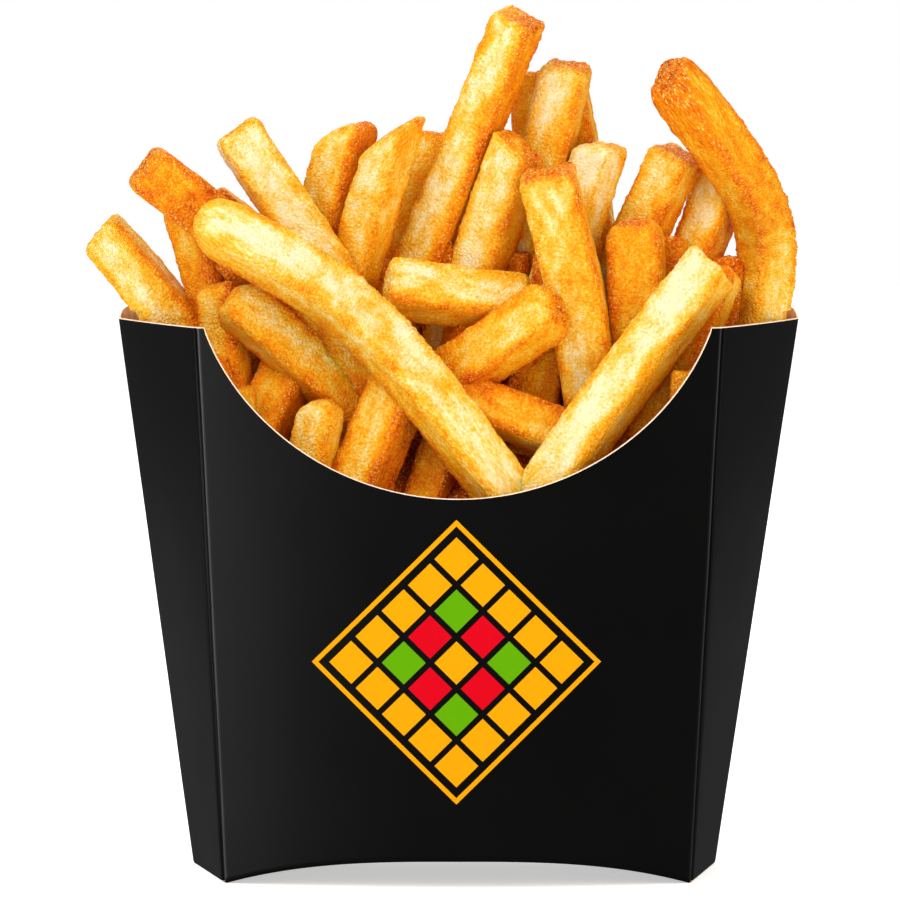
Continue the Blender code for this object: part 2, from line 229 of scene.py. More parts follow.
def wall_column(u, v, top):
    """One column of points from the foot to the cut edge, drawn in where the board is creased."""
    z = wall_heights(u, v, top)
    inset = np.zeros(len(z))
    inset[:len(FOOT_INSETS)] = FOOT_INSETS
    corner_round = between(*BACK_CORNER_ROUND, z / RIM_HEIGHT)
    if abs(u) == 1:
        inset = inset + GROOVE_DEPTH * np.exp(-(((beside_fold(v, z) - GROOVE_PLACE) / GROOVE_WIDTH) ** 2))
        v = np.clip(v, None, 1 - corner_round / half_depth(z)) if v < 1 else v
    elif v == 1:
        kept = 1 - corner_round / half_width(u, 1.0, z)
        widest = 1 - BACK_CORNER_ROUND[1] / RIGHT_BACK_FOLD[1]
        u = u * between(1.0, kept / widest, abs(u) ** BACK_CORNER_POWER)
    return carton_points(u, v, z, inset)


def rounded_corner(before, corner, after, steps):
    """Columns that turn a corner: a curve from one column to the next, drawn to the sharp corner."""
    shares = np.linspace(0, 1, steps + 2)[1:-1, None, None]
    return before * (1 - shares) ** 2 + corner * 2 * shares * (1 - shares) + after * shares**2


def carton_wall():
    """The columns of the front, right, back and left in order round the carton, corners shared out."""
    panels = [[wall_column(*column) for column in panel] for panel in wall_columns()]
    turns = []
    for k, (u, v) in enumerate(((1.0, -1.0), (1.0, 1.0), (-1.0, 1.0), (-1.0, -1.0))):
        after = panels[(k + 1) % len(panels)]
        turns.append(rounded_corner(panels[k][-1], wall_column(u, v, RIM_HEIGHT), after[0], CREASE_STEPS))
    half = CREASE_STEPS // 2
    return [np.array([*turns[k - 1][half:], *panel, *turns[k][:half]]) for k, panel in enumerate(panels)]


def crease_marks(points):
    """The crease's masks: 1 in the groove for its painted shade, 1 on the fold's bead for its painted
    highlight.
    """
    x, y, z = points.T
    share = z / RIM_HEIGHT
    fold_x = np.where(x < 0, -between(*LEFT_FRONT_FOLD, share), between(*RIGHT_FRONT_FOLD, share))
    inward = np.abs(fold_x) - np.abs(x)
    back_from_fold = y + half_depth(z)
    bead = np.where((y < 0) & (back_from_fold < GROOVE_MARK[1]), np.exp(-(inward / BEAD_WIDTH) ** 2), 0)
    first, full, last, gone = GROOVE_MARK
    groove = np.clip((back_from_fold - first) / (full - first), 0, 1)
    groove *= np.clip((gone - back_from_fold) / (gone - last), 0, 1)
    return groove, bead


def add_piece(name, points, faces, materials, face_slots=None, smooth=True):
    """A mesh object of the part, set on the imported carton, from arrays of points and faces."""
    mesh = bpy.data.meshes.new(name)
    mesh.from_pydata((points + STAND).tolist(), [], faces)
    for material in materials:
        mesh.materials.append(material)
    if face_slots is not None:
        mesh.polygons.foreach_set("material_index", face_slots)
    mesh.polygons.foreach_set("use_smooth", [smooth] * len(mesh.polygons))
    mesh.update()
    made = bpy.data.objects.new(name, mesh)
    bpy.context.scene.collection.objects.link(made)
    return made


def srgb(code):
    """A colour's sRGB hex code as linear red, green, blue and alpha."""
    parts = [int(code[k:k + 2], 16) / 255 for k in (1, 3, 5)]
    return (*[p / 12.92 if p <= 0.04045 else ((p + 0.055) / 1.055) ** 2.4 for p in parts], 1.0)


def add_node(tree, kind, settings=None, **links):
    """Adds one node: settings are its properties or its inputs' values, links its inputs' sources."""
    node = tree.nodes.new(kind)
    for key, value in (settings or {}).items():
        if key in node.inputs:
            node.inputs[key].default_value = value
        else:
            setattr(node, key, value)
    for key, source in links.items():
        wanted = key.replace("_", " ").lower()
        socket = next(put for put in node.inputs if put.name.lower() == wanted and put.enabled)
        tree.links.new(source, socket)
    return node


def new_material(name):
    """A new material, with its node tree and its Principled shader."""
    material = bpy.data.materials.new(name)
    material.use_nodes = True
    return material, material.node_tree, material.node_tree.nodes["Principled BSDF"]


def matt_laminate():
    """Matt black laminate over board: near black, a soft broad sheen, and a very fine tooth.

    Its gloss is taken away in the crease's groove, as painted shade, and raised on the fold's bead beside
    it, as a painted highlight. The real tooth is a few hundredths of a millimetre, and it is drawn as
    coarse as it needs to show.
    """
    material, tree, shader = new_material("matt_black_laminate")
    place = add_node(tree, "ShaderNodeTexCoord").outputs["Object"]
    groove_painted_shade = add_node(tree, "ShaderNodeAttribute", {"attribute_name": "groove_painted_shade"}).outputs["Fac"]
    bead_painted_sheen = add_node(tree, "ShaderNodeAttribute", {"attribute_name": "bead_painted_sheen"}).outputs["Fac"]
    cloud = add_node(tree, "ShaderNodeTexNoise", {"Scale": 1 / LAMINATE_CLOUD, "Detail": 3.0}, vector=place)
    tooth = add_node(tree, "ShaderNodeTexNoise", {"Scale": 1 / LAMINATE_TOOTH, "Detail": 2.0}, vector=place)
    shade = add_node(tree, "ShaderNodeValToRGB", fac=cloud.outputs["Fac"])
    shade.color_ramp.elements[0].color = srgb("#030303")
    shade.color_ramp.elements[1].color = srgb("#050505")
    dull = add_node(tree, "ShaderNodeMapRange", {"To Min": LAMINATE_ROUGH[0], "To Max": LAMINATE_ROUGH[1]},
                    value=cloud.outputs["Fac"])
    # Painted highlight and painted shade: the specular level rises on the fold's bead and falls to nothing
    # in the groove.
    sheen = add_node(tree, "ShaderNodeMapRange", {"To Min": LAMINATE_SHEEN, "To Max": BEAD_PAINTED_SHEEN},
                     value=bead_painted_sheen)
    left = add_node(tree, "ShaderNodeMapRange", {"To Min": 1.0, "To Max": 0.0}, value=groove_painted_shade)
    level = add_node(tree, "ShaderNodeMath", {"operation": "MULTIPLY"})
    tree.links.new(sheen.outputs["Result"], level.inputs[0])
    tree.links.new(left.outputs["Result"], level.inputs[1])
    bump = add_node(tree, "ShaderNodeBump", {"Strength": 0.25, "Distance": TOOTH_DEPTH},
                    height=tooth.outputs["Fac"])
    tree.links.new(shade.outputs["Color"], shader.inputs["Base Color"])
    tree.links.new(dull.outputs["Result"], shader.inputs["Roughness"])
    tree.links.new(bump.outputs["Normal"], shader.inputs["Normal"])
    tree.links.new(level.outputs["Value"], shader.inputs["Specular IOR Level"])
    return material


def bare_board():
    """Unbleached board: light brown, dull, with flecks of fibre."""
    material, tree, shader = new_material("bare_brown_board")
    place = add_node(tree, "ShaderNodeTexCoord").outputs["Object"]
    drawn = add_node(tree, "ShaderNodeMapping", {"Scale": (1.0, 1.0, 0.3)}, vector=place)
    fibre = add_node(tree, "ShaderNodeTexNoise", {"Scale": 1 / FIBRE_FLECK, "Detail": 4.0},
                     vector=drawn.outputs["Vector"])
    shade = add_node(tree, "ShaderNodeValToRGB", fac=fibre.outputs["Fac"])
    shade.color_ramp.elements[0].position = 0.3
    shade.color_ramp.elements[0].color = srgb("#b5794a")
    shade.color_ramp.elements[1].position = 0.7
    shade.color_ramp.elements[1].color = srgb("#d39c6c")
    bump = add_node(tree, "ShaderNodeBump", {"Strength": 0.3, "Distance": FIBRE_DEPTH},
                    height=fibre.outputs["Fac"])
    tree.links.new(shade.outputs["Color"], shader.inputs["Base Color"])
    tree.links.new(bump.outputs["Normal"], shader.inputs["Normal"])
    shader.inputs["Roughness"].default_value = 0.85
    return material


def cut_core():
    """The board's core where the knife cut it: cream, dull and a little uneven."""
    material, tree, shader = new_material("cut_board_core")
    place = add_node(tree, "ShaderNodeTexCoord").outputs["Object"]
    fray = add_node(tree, "ShaderNodeTexNoise", {"Scale": 1 / CUT_FRAY, "Detail": 3.0}, vector=place)
    shade = add_node(tree, "ShaderNodeValToRGB", fac=fray.outputs["Fac"])
    shade.color_ramp.elements[0].position = 0.3
    shade.color_ramp.elements[0].color = srgb("#edd2b2")
    shade.color_ramp.elements[1].position = 0.65
    shade.color_ramp.elements[1].color = srgb("#fdeedd")
    tree.links.new(shade.outputs["Color"], shader.inputs["Base Color"])
    shader.inputs["Roughness"].default_value = 0.8
    return material


carton_low, carton_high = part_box("carton")
STAND = np.array([
    carton_low.x + LEFT_BACK_FOLD[1],
    carton_low.y + half_depth(SCOOP_LOW) + panel_bow(SCOOP_LOW),
    carton_low.z,
])

wall = carton_wall()
columns = np.concatenate(wall)
ring_count, row_count = columns.shape[:2]

# The board swells in and out a little. The plan is wide and shallow, so outwards is mostly fore and aft.
flat = columns.reshape(-1, 3)
out = flat * (1, 4, 0)
out /= np.linalg.norm(out, axis=1)[:, None]
flat += out * (soft_noise(flat, BOARD_WAVE_CELL, BOARD_WAVE_SEED) * BOARD_WAVE)[:, None]

# Black outside, bare inside, and pale core on the cut edge and on the narrow band just below it.
LAMINATED, BARE, CUT = range(3)
wall_faces = []
wall_slots = []
for c in range(ring_count):
    after = (c + 1) % ring_count
    for r in range(row_count - 1):
        wall_faces.append((c * row_count + r, after * row_count + r,
                           after * row_count + r + 1, c * row_count + r + 1))
        wall_slots.append(CUT if r == row_count - 2 else LAMINATED)

# The floor: a patch between the wall's four lowest edges.
foot_of = [c * row_count for c in range(ring_count)]
starts = np.cumsum([0, *[len(side) for side in wall]])
front_edge, right_edge, back_edge, left_edge = [foot_of[starts[k]:starts[k + 1]] for k in range(4)]
back_edge = back_edge[::-1]
left_edge = left_edge[::-1]
wide = len(front_edge)
front_y = flat[front_edge[0], 1]
back_y = flat[back_edge[0], 1]
floor_points = []
floor_grid = [front_edge]
for left_point, right_point in zip(left_edge, right_edge):
    share = (flat[left_point, 1] - front_y) / (back_y - front_y)
    row = [left_point]
    for i in range(1, wide - 1):
        row.append(ring_count * row_count + len(floor_points))
        floor_points.append(flat[front_edge[i]] * (1 - share) + flat[back_edge[i]] * share)
    row.append(right_point)
    floor_grid.append(row)
floor_grid.append(back_edge)
for near, far in zip(floor_grid, floor_grid[1:]):
    for i in range(wide - 1):
        wall_faces.append((near[i], far[i], far[i + 1], near[i + 1]))
        wall_slots.append(LAMINATED)

board_points = np.concatenate([flat, np.array(floor_points)])
carton_board = add_piece("carton_board", board_points, wall_faces,
                         [matt_laminate(), bare_board(), cut_core()], wall_slots)
# Masks for the painted shade in the crease's groove and the painted highlight on the fold's bead.
for mark, amounts in zip(("groove_painted_shade", "bead_painted_sheen"), crease_marks(board_points)):
    layer = carton_board.data.attributes.new(mark, "FLOAT", "POINT")
    layer.data.foreach_set("value", amounts)
thickness = carton_board.modifiers.new("board", "SOLIDIFY")
thickness.thickness = BOARD
thickness.offset = -1.0
thickness.material_offset = BARE
thickness.material_offset_rim = CUT
crisp = carton_board.modifiers.new("crisp_edge", "EDGE_SPLIT")
crisp.split_angle = math.radians(BOARD_CRISP_ANGLE)
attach(carton_board, "root")
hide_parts("carton")


# The print on the front panel is spot ink on the laminate: a plain pattern of small diamonds inside a
# thin frame, in yellow, red and green. It lies on the bowed panel as a film 0.03 mm thick.
PRINT_MIDDLE = 45.7 * MM
PRINT_PROUD = 0.05 * MM
INK_THICKNESS = 0.03 * MM
DIAMOND_ROWS = 5
DIAMOND_PITCH = 7.3 * MM
DIAMOND_SIDE = 6.1 * MM
FRAME_HALF = 28.4 * MM
FRAME_LINE = 0.9 * MM
INK_CELL = 1.0 * MM
INK_MOTTLE = 0.5 * MM
INK_THIN_SHADE = 0.92
INK_ROUGH = (0.36, 0.5)
INK_SHEEN = 0.04
INK_CRISP_ANGLE = 40
INKS = (("yellow_ink", "#ea9c00"), ("red_ink", "#cc0018"), ("green_ink", "#5aa000"))
YELLOW, RED, GREEN = range(3)


def spot_ink(name, code):
    """One printed ink: flat colour that is duller than the laminate, and faintly uneven."""
    material, tree, shader = new_material(name)
    place = add_node(tree, "ShaderNodeTexCoord").outputs["Object"]
    mottle = add_node(tree, "ShaderNodeTexNoise", {"Scale": 1 / INK_MOTTLE, "Detail": 2.0}, vector=place)
    dull = add_node(tree, "ShaderNodeMapRange", {"To Min": INK_ROUGH[0], "To Max": INK_ROUGH[1]},
                    value=mottle.outputs["Fac"])
    tint = add_node(tree, "ShaderNodeValToRGB", fac=mottle.outputs["Fac"])
    full = srgb(code)
    tint.color_ramp.elements[0].color = (*[INK_THIN_SHADE * part for part in full[:3]], 1.0)
    tint.color_ramp.elements[1].color = full
    tree.links.new(tint.outputs["Color"], shader.inputs["Base Color"])
    tree.links.new(dull.outputs["Result"], shader.inputs["Roughness"])
    shader.inputs["Specular IOR Level"].default_value = INK_SHEEN
    return material


def print_patch(corners, points, faces, slots, ink):
    """Adds a four-cornered patch of ink, cut fine enough to follow the panel. Corners are x and height."""
    corners = np.array(corners)
    m, n = [math.ceil(np.linalg.norm(corners[k + 1] - corners[k]) / INK_CELL) for k in (0, 1)]
    start = len(points)
    for j in range(n + 1):
        for i in range(m + 1):
            s, t = i / m, j / n
            low = corners[0] * (1 - s) + corners[1] * s
            high = corners[3] * (1 - s) + corners[2] * s
            x, z = low * (1 - t) + high * t
            points.append(carton_points(x / half_width(x, -1.0, z), -1.0, z, -PRINT_PROUD))
    for j in range(n):
        for i in range(m):
            here = start + j * (m + 1) + i
            faces.append((here, here + 1, here + m + 2, here + m + 1))
            slots.append(ink)


ink_points, ink_faces, ink_slots = [], [], []
middle = np.array([0.0, PRINT_MIDDLE])
across_step = np.array([1.0, 1.0]) / math.sqrt(2)
up_step = np.array([-1.0, 1.0]) / math.sqrt(2)
centre = (DIAMOND_ROWS - 1) / 2
reach = DIAMOND_SIDE / 2
square = ((-1, -1), (1, -1), (1, 1), (-1, 1))
for i in range(DIAMOND_ROWS):
    for j in range(DIAMOND_ROWS):
        if max(abs(i - centre), abs(j - centre)) != 1:
            ink = YELLOW
        elif centre in (i, j):
            ink = RED
        else:
            ink = GREEN
        spot = middle + (across_step * (i - centre) + up_step * (j - centre)) * DIAMOND_PITCH
        corners = [spot + (across_step * a + up_step * b) * reach for a, b in square]
        print_patch(corners, ink_points, ink_faces, ink_slots, ink)
diamond = [np.array(way) for way in ((0, -1), (1, 0), (0, 1), (-1, 0))]
outer = [middle + way * FRAME_HALF for way in diamond]
inner = [middle + way * (FRAME_HALF - FRAME_LINE * math.sqrt(2)) for way in diamond]
for k in range(len(diamond)):
    after = (k + 1) % len(diamond)
    print_patch([outer[k], outer[after], inner[after], inner[k]], ink_points, ink_faces, ink_slots, YELLOW)
panel_print = add_piece("panel_print", np.array(ink_points), ink_faces,
                        [spot_ink(*ink) for ink in INKS], ink_slots)
film = panel_print.modifiers.new("film", "SOLIDIFY")
film.thickness = INK_THICKNESS
film.offset = -1.0
crisp = panel_print.modifiers.new("crisp_edge", "EDGE_SPLIT")
crisp.split_angle = math.radians(INK_CRISP_ANGLE)
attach(panel_print, "root")


# The fries are straight-cut potato, fried crisp: square in section with faintly dished faces, and with
# edges and ends that browned and blistered more than the faces. They stand and lie as they fell.
# First come the eye they are laid out from, their gaps to the board, their ends and how fine they are cut.
EYE = np.array([-1.3, -750.0, 148.0]) * MM
HEAP_GAP = 0.4 * MM
CLEAR_OF_RIM = 2.0 * MM
CUT_END = 0.86
ROUND_END = 0.5
END_ROUNDING = 0.8
SECTION_POWER = (4.4, 6.4)
LENGTH_STEPS = 60
LEAST_RINGS = 4
FRY_STEP = 0.40 * MM
FRY_AROUND = 56
CLOSER_AT_EDGES = 0.66
CAP_STEPS = 8
AXIS_STEP = 0.02
SMALLEST = 0.02 * MM
NEIGHBOUR_SHARES = np.linspace(0, 1, 16)
SEEDS_APART = 100

# Relief: a dish in each face, and bumps that grow from the first share on a face to the second on crust.
DISH = 0.22 * MM
DISH_BAND = 6.6 * MM
SWELL = 0.30 * MM
LUMP = 0.28 * MM
LUMP_SHARES = (0.55, 1.30)
BLISTER = 0.26 * MM
BLISTER_LEVEL = 0.25
BLISTER_SHARES = (0.35, 1.00)
BEAD = 0.32 * MM
BEAD_SHARES = (0.10, 1.00)

# Patterns: the size of a bump, its scale along the fry, where less than 1 draws it out, and its seed.
SWELLS = (10.0 * MM, 0.5, 11)
LUMPS = (3.0 * MM, 1.0, 12)
BLISTERS = (1.4 * MM, 1.0, 13)
BANDS = (3.2 * MM, 0.6, 14)
BEADS = (0.80 * MM, 1.0, 15)
PATCHES = (6.0 * MM, 0.4, 21)
MOTTLES = (2.2 * MM, 0.6, 22)

# How wide the crust is along the edges and at the ends, and how far that varies.
EDGE_BAND = 2.2 * MM
EDGE_VARIES = 0.45
END_BAND = 2.4 * MM
END_VARIES = 0.5
TAN_BAND = 3.6 * MM
TAN_VARIES = 0.35
TAN_POWER = 1.6

# Browning runs from 0, pale, to 1. These are what each cause adds to a fry's own tone. The shaded side and
# the tucking between fries are painted shade, added as if browned.
ALL_PALER = 0.08
PATCH_BROWN = 0.19
MOTTLE_BROWN = 0.18
TAN_BROWN = 0.38
END_BROWN = 0.32
CUT_FACE_BROWN = 0.60
# Painted shade on the side of each fry turned away from the lamps.
SHADED_SIDE = 1.6
# Painted shade where fries lie close together: full at TOUCHING, none beyond CLEAR.
TOUCHING = 5.0 * MM
CLEAR = 9.5 * MM
TUCKED_EACH = 0.6
TUCKED_PAINTED_SHADE = 0.27
PALER_FOOT_PART = 1.6
MOST_BROWN = 0.74
BEYOND_MOST = 0.25

# The fries that show, from front to back. Tone is how browned a fry is, and brown how browned its ends are.
# Tip and foot are across, up and deep in mm, as they show from the front. Size is width and thickness, and
# roll turns the section. A bow bends the fry by so many mm, a knee by its place and sharpness. Slant and
# cut tilt the tip's end face, which is square where tip_end is 1. Dark is the painted shade on one side,
# added as if browned, and the direction of that side.
Fry = namedtuple(
    "Fry",
    "name kind tone brown tip foot size roll bow slant taper tip_end knee sharpness dark cut paler_foot",
    defaults=(0, 0, 0, 1, CUT_END, None, 1, (0.0, 0), 0.0, 0.0),
)
FRIES = (
    Fry("long_diagonal", "pale", 0.20, 0.45, (-52, 132.5, -11), (15.5, 69, -13.5), (10.4, 8.9), -28, 0, 0.1,
        1.06, ROUND_END, (-18, 115.6, -11), 2.5, (0.28, 205)),
    Fry("long_pale", "pale", 0.12, 0.45, (51.6, 123, -6), (13.8, 71, -14.5), (10.8, 9.0), 26, -0.9, -0.1,
        dark=(0.24, 0)),
    Fry("scoop_left_stub", "golden", 0.24, 0.6, (-26.8, 96, -8), (-31.5, 73, -11), (9.2, 7.8), 24, 0.3, 0.2,
        0.92, ROUND_END, dark=(0.12, 0)),
    Fry("scoop_broad", "light_golden", 0.46, 0.35, (-9.5, 102, -4), (-24, 67, -12), (11.2, 9.8), 30, -0.5,
        dark=(0.32, 0)),
    Fry("scoop_middle", "browned", 0.58, 0.3, (0, 94, 1), (-10, 64, -9), (8.8, 7.8), 20),
    Fry("stubby", "light_golden", 0.34, 0.9, (20.6, 115.4, -9), (-3, 99, 2), (10.9, 9.5), 30, 0, -0.1, 1,
        ROUND_END, dark=(0.2, 0)),
    Fry("lower_cross", "browned", 0.40, 0.4, (27, 86.8, -4), (-4, 98.5, -2), (9.6, 8.8), 20,
        dark=(0.15, 180)),
    Fry("scoop_golden", "golden", 0.36, 0.5, (-45.6, 116.8, -5), (-14, 88, 5), (10.2, 8.7), -20, 0.8, -0.1,
        1, ROUND_END, dark=(0.04, 180)),
    Fry("upper_cross", "pale", 0.19, 0.3, (14, 115, 4), (-14, 118.5, 0), (10.6, 9.6), 30, dark=(0.22, 0)),
    Fry("tall_bent_left", "light_golden", 0.33, 0.7, (17.8, 142, -3), (28.8, 82, 2), (11.4, 8.8), 6, 1.5,
        dark=(0.10, 0), cut=0.3),
    Fry("browned", "browned", 0.65, 0.8, (-62.8, 142.8, -3), (-35, 121, 5), (10.6, 9.6), 0, 0.3, 0, 0.98,
        0.72),
    Fry("pale_upper_left", "pale", 0.16, 0.6, (-44.2, 150.2, 3), (-21, 115, 5), (10.0, 8.2), -8, 0, 0.05, 1,
        0.8, dark=(0.1, 0)),
    Fry("round_brown_rim", "golden", 0.51, 0.9, (35.4, 132.4, 3), (38, 90, 3), (11.8, 9.4), 5, 0, 0, 0.98,
        ROUND_END),
    Fry("scoop_edge_left", "golden", 0.40, 0.8, (-46.6, 119.6, 4), (-45, 86, 1), (8.8, 7.8), 35, 0, 0.1, 1,
        0.65, dark=(0.16, 0)),
    Fry("scoop_second_left", "golden", 0.42, 0.5, (-32, 105.5, 5), (-44, 80, -7), (10.0, 9.0), 25,
        dark=(0.2, 0)),
    Fry("beside_long_pale", "browned", 0.54, 0.7, (53, 122.5, 4), (35, 80, -6), (8.8, 8.0), 22, 0.5, 0, 1,
        0.7),
    Fry("behind_diagonal", "golden", 0.42, 0.5, (-34.5, 119, 2), (-15, 98, 3), (9.2, 8.4), -10),
    Fry("under_browned", "browned", 0.52, 0.5, (-53.6, 135, 11), (-42.5, 94, 8), (9.3, 8.1), 40),
    Fry("pointed", "pale", 0.20, 0.65, (-12.4, 149.8, 6), (-25.5, 104, 10), (9.2, 8.0), 32, 0, 1.1, 1, 0.7,
        dark=(0.10, 0)),
    Fry("upright_pale", "pale", 0.22, 0.7, (12.9, 147.4, 7), (-4, 99, 15), (10.7, 9.0), 28, 0, -0.25,
        dark=(0.24, 0), cut=0.25),
    Fry("tallest", "pale", 0.26, 0.8, (12.9, 173.2, 10), (-15.8, 102, 15), (9.6, 8.6), 23, 0, 0.05, 1, 0.8,
        dark=(0.28, 0), cut=0.4),
    Fry("right_pair_inner", "pale", -0.04, 0.7, (29.4, 147.6, 13), (18, 114, 8), (9.6, 8.4), 35, 0, 0.3, 1,
        0.7, dark=(0.20, 0), cut=0.3),
    Fry("behind_stubby", "browned", 0.52, 0.4, (21, 130, 11), (15, 84, 4), (9.0, 8.4), 10),
    Fry("leaning_out_left", "light_golden", 0.30, 0.5, (-71.2, 130.0, 10), (-43, 93, 10), (11.8, 10.4), 14,
        0.6, 0.2, 0.8, dark=(0.06, 0)),
    Fry("scoop_right_low", "browned", 0.64, 0.3, (42, 97, 5), (29, 77, -7), (8.8, 8.2), 15),
    Fry("dark_left", "browned", 0.60, 0.4, (-45, 125.5, 7), (-26, 101, 9), (9.2, 8.4), -10),
    Fry("right_pair_outer", "light_golden", 0.30, 0.8, (44.6, 146.2, 14), (29, 112, 14), (9.8, 8.6), 25, 0,
        0.1, 1, 0.8, dark=(0.16, 0), cut=0.3),
    Fry("rounded_behind", "light_golden", 0.36, 0.4, (-21, 151.2, 14), (-32, 110, 16), (10.2, 9.0), 35, 0,
        0.6, 1, 0.45, dark=(0.30, 0)),
    Fry("brown_rim_upper", "light_golden", 0.17, 1.0, (22.4, 163.8, 16), (9, 108, 17), (9.9, 8.8), 12, 0,
        0.12, 1, 0.7, dark=(0.16, 0), cut=0.3),
    Fry("right_rim", "browned", 0.72, 0.6, (54.4, 124.6, 14), (52, 98, 12), (8.2, 7.6), 15, 0, 0, 1, 0.7),
    Fry("beside_round_rim", "browned", 0.56, 0.5, (42.4, 128.6, 11), (41.5, 94, 9), (7.0, 6.6), 15),
    Fry("sliver_left", "browned", 0.50, 0.5, (-49.5, 135.2, 13), (-24, 116, 15), (9.2, 8.4), 5),
    Fry("behind_bent", "light_golden", 0.20, 0.4, (54.2, 141.5, 18), (41, 108, 13), (9.6, 8.8), 25,
        dark=(0.18, 0)),
    Fry("behind_pointed", "golden", 0.44, 0.6, (-3.8, 149.4, 20), (-15, 112, 17), (8.8, 8.2), 15, 0, 0.2,
        0.95, 0.75),
    Fry("behind_tallest", "golden", 0.44, 0.6, (15.6, 161.2, 23), (15.6, 118, 20), (8.4, 8.0), 15, 0, 0, 1,
        0.75),
    Fry("behind_brown_rim", "golden", 0.36, 0.4, (21.6, 158.5, 25), (30, 118, 20), (8.8, 8.2), 10),
    Fry("bent", "golden", 0.58, 0.8, (41.4, 161.4, 4), (56, 90, 12), (10.4, 9.4), -38, 0, 0.2, 1, 0.8,
        (65.6, 132.4, 13), 3, cut=0.3, paler_foot=0.40),
)


def in_the_heap(place):
    """A place as it shows from the front, carried back along the line of sight to its depth."""
    across, up, deep = (value * MM for value in place)
    reach = 1 - deep / EYE[1]
    return np.array([EYE[0] + (across - EYE[0]) * reach, deep, EYE[2] + (up - EYE[2]) * reach])


def unit(vectors):
    """Vectors of the same directions, each one long."""
    return vectors / np.linalg.norm(vectors, axis=-1, keepdims=True)


def eased(values):
    """Values kept between 0 and 1, with a soft start and end."""
    kept = np.clip(values, 0, 1)
    return kept * kept * (3 - 2 * kept)


def centre_line(fry, shares):
    """Points along a fry's centre line: a curve from foot to tip, drawn to its knee or to one side."""
    foot, tip = in_the_heap(fry.foot), in_the_heap(fry.tip)
    sight = unit((foot + tip) / 2 - EYE)
    if fry.knee:
        corner = in_the_heap(fry.knee)
    else:
        corner = (foot + tip) / 2 + unit(np.cross(sight, tip - foot)) * fry.bow * 2 * MM
    s = np.clip(shares, 0, 1)[:, None]
    weights = (1 - s) ** 2, 2 * s * (1 - s) * fry.sharpness, s**2
    return (foot * weights[0] + corner * weights[1] + tip * weights[2]) / sum(weights)


def tucked_in(points, fry):
    """How closely other fries lie about each point: 0 in the open, 1 deep between them. It sets painted
    shade.
    """
    tucked = np.zeros(len(points))
    for other in FRIES:
        if other.name != fry.name:
            line = centre_line(other, NEIGHBOUR_SHARES)
            apart = np.sqrt(((points[:, None, :] - line[None]) ** 2).sum(axis=2).min(axis=1))
            tucked += TUCKED_EACH * eased((CLEAR - apart) / (CLEAR - TOUCHING))
    return np.clip(tucked, 0, 1)


def fry_frame(fry, shares):
    """Along a fry: its centre line, and the three directions along it, to its right and towards the eye."""
    sight = unit((in_the_heap(fry.foot) + in_the_heap(fry.tip)) / 2 - EYE)
    along = unit(centre_line(fry, shares + AXIS_STEP) - centre_line(fry, shares - AXIS_STEP))
    right = unit(np.cross(sight, along))
    return centre_line(fry, shares), along, right, np.cross(right, along)


def kept_inside(points):
    """The points, moved off the board where they would touch it: a soft fry lies flat against the wall."""
    kept = points.copy()
    x, y, z = kept.T
    inset = BOARD + HEAP_GAP
    depth = half_depth(z)
    reach = half_width(x, np.clip(y / depth, -1, 1), z) - inset
    x[:] = np.where(z < RIM_HEIGHT + CLEAR_OF_RIM, np.clip(x, -reach, reach), x)
    front_u = x / half_width(x, -1.0, z)
    back_u = x / half_width(x, 1.0, z)
    front = depth + panel_bow(z) * np.clip(1 - front_u**2, 0, 1) - inset
    back = depth + panel_bow(z) * np.clip(1 - back_u**2, 0, 1) - inset
    y[:] = np.where(z < scoop_height(x) + CLEAR_OF_RIM, np.maximum(-front, y), y)
    y[:] = np.where(z < back_height(back_u) + CLEAR_OF_RIM, np.minimum(back, y), y)
    return kept


def fry_rings(length, foot_round, tip_round, step):
    """Each ring of a fry: its place, how far it draws in, its share of the way over the end, its tilt."""
    rings = []
    over = np.arange(CAP_STEPS) / CAP_STEPS
    for share in over[:0:-1]:
        rings.append((0.0, foot_round, share, -math.pi / 2))
    for tilt in np.linspace(math.pi / 2, 0, max(LEAST_RINGS, round(foot_round * math.pi / 2 / step) + 1)):
        rings.append((foot_round * (1 - math.sin(tilt)), foot_round * (1 - math.cos(tilt)), 0.0, -tilt))
    body_count = max(LEAST_RINGS, round((length - foot_round - tip_round) / step))
    for place in np.linspace(foot_round, length - tip_round, body_count)[1:-1]:
        rings.append((place, 0.0, 0.0, 0.0))
    for tilt in np.linspace(0, math.pi / 2, max(LEAST_RINGS, round(tip_round * math.pi / 2 / step) + 1)):
        place = length - tip_round * (1 - math.sin(tilt))
        rings.append((place, tip_round * (1 - math.cos(tilt)), 0.0, tilt))
    for share in over[1:]:
        rings.append((length, tip_round, share, math.pi / 2))
    return np.array(rings).T


def rounded_square(half_wide, half_thick, power, angle):
    """Points of a rounded square section at angles round it, and the way that is outwards at each."""
    cos, sin = np.cos(angle)[None, :], np.sin(angle)[None, :]
    ray = ((np.abs(cos) / half_wide) ** power + (np.abs(sin) / half_thick) ** power) ** (-1 / power)
    a, b = ray * cos, ray * sin
    out_a = np.sign(a) * (np.abs(a) / half_wide) ** (power - 1) / half_wide
    out_b = np.sign(b) * (np.abs(b) / half_thick) ** (power - 1) / half_thick
    steep = np.hypot(out_a, out_b)
    return a, b, out_a / steep, out_b / steep


def turned(a, b, degrees):
    """Two coordinates turned by an angle."""
    cos, sin = math.cos(math.radians(degrees)), math.sin(math.radians(degrees))
    return a * cos - b * sin, a * sin + b * cos


def pattern(spots, kind):
    """One of the patterns above at spots of a fry."""
    size, scale_along, seed = kind
    return soft_noise(spots * (1, 1, scale_along), size, seed)


